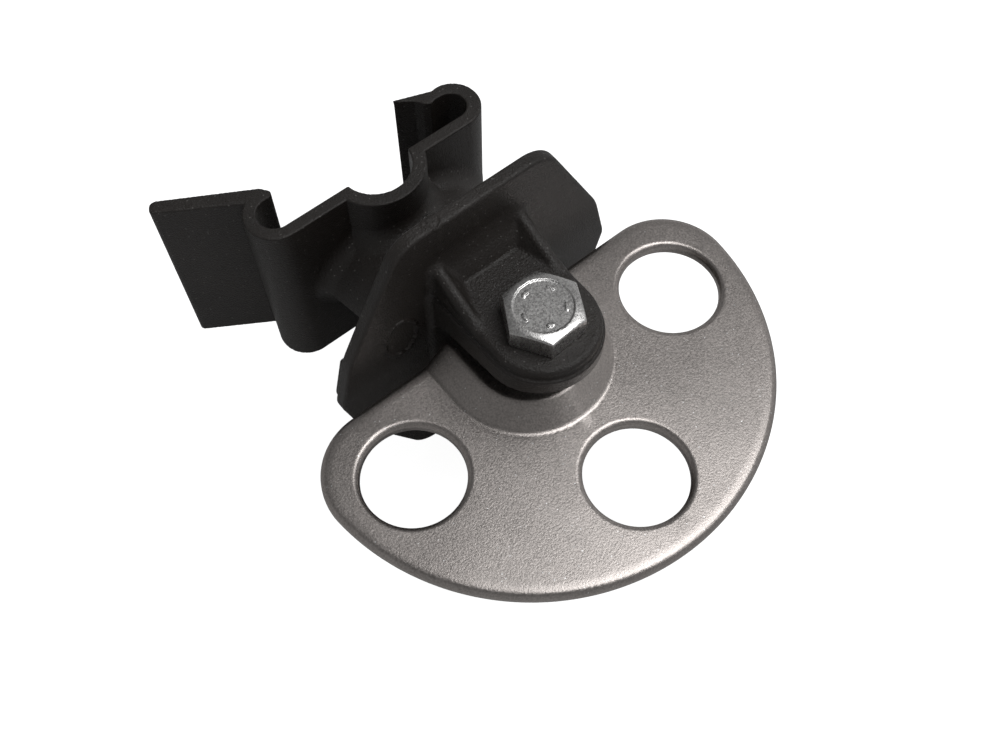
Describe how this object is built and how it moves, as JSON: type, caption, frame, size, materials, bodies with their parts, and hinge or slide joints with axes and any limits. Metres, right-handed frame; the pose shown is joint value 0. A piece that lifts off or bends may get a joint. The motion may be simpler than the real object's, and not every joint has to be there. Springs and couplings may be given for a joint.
{
  "type": "roof anchor",
  "caption": "Roof rail anchor: a moulded spring clip and clevis bracket carrying a swivelling steel plate with connector holes on a bolt.",
  "frame": {"origin": "centre of the rail saddle, halfway along the clip", "axes": "+Z runs along the rail and the bolt, towards the bolt head; +X runs along the shield away from the release wing; +Y runs from the plate towards the rail"},
  "size_m": [0.1184, 0.1384, 0.0958],
  "materials": {
    "moulding": "black moulded plastic, finely pebbled, semi-matt",
    "plate_steel": "satin stainless sheet with fine grain and rounded rims",
    "zinc_steel": "bright zinc plate with handling wear",
    "collar_plastic": "black turned plastic, semi-matt",
    "nylon": "natural nylon"
  },
  "bodies": {
    "bracket": {"rail_clip": "moulding", "neck_block": "moulding", "shield_plate": "moulding", "upper_ear": "moulding", "lower_ear": "moulding", "pivot_bolt": "zinc_steel", "pivot_sleeve": "zinc_steel", "upper_collar": "collar_plastic", "lower_collar": "collar_plastic", "lower_washer": "zinc_steel", "lock_nut": "zinc_steel", "nut_insert": "nylon"},
    "plate": {"anchor_plate": "plate_steel"}
  },
  "joints": [
    {"name": "plate_swivel", "type": "hinge", "parent": "bracket", "child": "plate", "pos_m": [0.0026, -0.0592, 0], "axis": [0, 0, 1], "range_deg": [-6, 6]}
  ]
}
